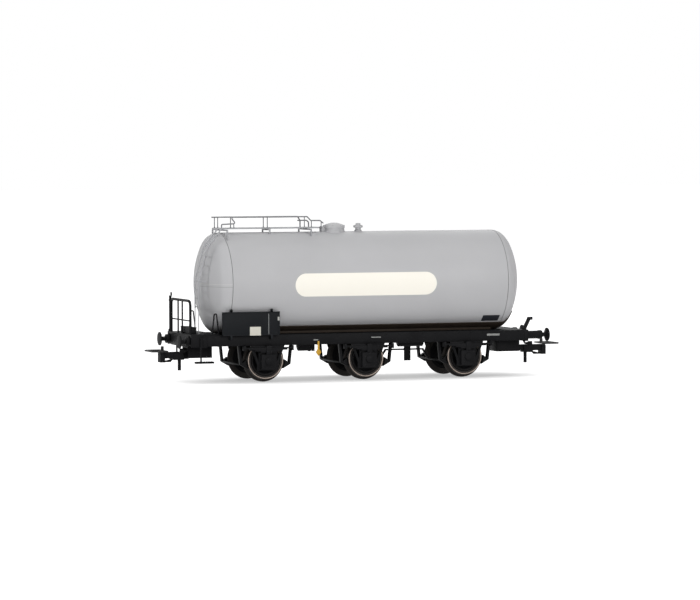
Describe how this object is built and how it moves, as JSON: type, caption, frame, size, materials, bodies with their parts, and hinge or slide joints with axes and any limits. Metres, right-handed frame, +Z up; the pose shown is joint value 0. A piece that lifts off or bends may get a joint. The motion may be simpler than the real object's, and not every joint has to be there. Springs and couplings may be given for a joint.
{
  "type": "scale model three-axle railway tank car",
  "caption": "Small-scale railway tank car: rolling wheelsets, swinging couplers, roof walkway and end platform.",
  "frame": {"origin": "on the floor under the middle axle, on the centre line", "axes": "+X along the wagon away from the brakeman's platform, +Y to the far side, +Z up"},
  "size_m": [0.128, 0.0292, 0.0483],
  "materials": {
    "tank_paint": "satin light grey",
    "belly_paint": "matt brown black",
    "walkway_grey": "matt grey",
    "chassis_black": "matt black",
    "sign_black": "matt black",
    "wire_black": "blackened wire",
    "yellow_plastic": "gloss yellow",
    "tyre_metal": "tarnished metal"
  },
  "bodies": {
    "wagon": {"air_reservoir": "chassis_black", "axle_guard_1_far": "chassis_black", "axle_guard_1_near": "chassis_black", "axle_guard_2_far": "chassis_black", "axle_guard_2_near": "chassis_black", "axle_guard_3_far": "chassis_black", "axle_guard_3_near": "chassis_black", "brake_column": "chassis_black", "brake_cylinder": "chassis_black", "brake_hose_left": "chassis_black", "brake_hose_right": "chassis_black", "brake_levers": "chassis_black", "brake_shoes_far": "chassis_black", "brake_shoes_near": "chassis_black", "buffer_left_far": "chassis_black", "buffer_left_near": "chassis_black", "buffer_right_far": "chassis_black", "buffer_right_near": "chassis_black", "changeover_handle": "yellow_plastic", "coupler_box_left": "chassis_black", "coupler_box_right": "chassis_black", "end_ladder": "walkway_grey", "end_lever": "chassis_black", "end_railing": "chassis_black", "frame_floor": "chassis_black", "grab_loops": "chassis_black", "headstock_left": "chassis_black", "headstock_right": "chassis_black", "manhole": "tank_paint", "platform": "chassis_black", "platform_box": "chassis_black", "sign_board_far": "sign_black", "sign_board_near": "sign_black", "solebar_far": "chassis_black", "solebar_near": "chassis_black", "step_far": "chassis_black", "step_near": "chassis_black", "tank_barrel": "tank_paint", "tank_belly": "belly_paint", "tank_end_left": "tank_paint", "tank_end_right": "tank_paint", "vent_valve": "tank_paint", "walkway_brackets": "walkway_grey", "walkway_floor": "walkway_grey", "walkway_rail_far": "walkway_grey", "walkway_rail_near": "walkway_grey"},
    "wheelset_1": {"wheelset_1": "chassis_black", "tyres_1": "tyre_metal"},
    "wheelset_2": {"wheelset_2": "chassis_black", "tyres_2": "tyre_metal"},
    "wheelset_3": {"wheelset_3": "chassis_black", "tyres_3": "tyre_metal"},
    "coupler_left": {"coupler_left": "chassis_black"},
    "coupling_loop_left": {"coupling_loop_left": "wire_black"},
    "coupler_right": {"coupler_right": "chassis_black"},
    "coupling_loop_right": {"coupling_loop_right": "wire_black"}
  },
  "joints": [
    {"name": "wheelset_1_roll", "type": "hinge", "parent": "wagon", "child": "wheelset_1", "pos_m": [-0.0311, 0, 0.0063], "axis": [0, 1, 0], "continuous": true},
    {"name": "wheelset_2_roll", "type": "hinge", "parent": "wagon", "child": "wheelset_2", "pos_m": [0, 0, 0.0063], "axis": [0, 1, 0], "continuous": true},
    {"name": "wheelset_3_roll", "type": "hinge", "parent": "wagon", "child": "wheelset_3", "pos_m": [0.0311, 0, 0.0063], "axis": [0, 1, 0], "continuous": true},
    {"name": "coupler_left_swing", "type": "hinge", "parent": "wagon", "child": "coupler_left", "pos_m": [-0.048, 0, 0.00795], "axis": [0, 0, 1], "range_deg": [-8, 8]},
    {"name": "coupler_right_swing", "type": "hinge", "parent": "wagon", "child": "coupler_right", "pos_m": [0.048, 0, 0.00795], "axis": [0, 0, 1], "range_deg": [-8, 8]},
    {"name": "coupling_loop_left_lift", "type": "hinge", "parent": "coupler_left", "child": "coupling_loop_left", "pos_m": [-0.0592, 0, 0.00925], "axis": [0, 1, 0], "range_deg": [0, 25]},
    {"name": "coupling_loop_right_lift", "type": "hinge", "parent": "coupler_right", "child": "coupling_loop_right", "pos_m": [0.0592, 0, 0.00925], "axis": [0, -1, 0], "range_deg": [0, 25]}
  ]
}
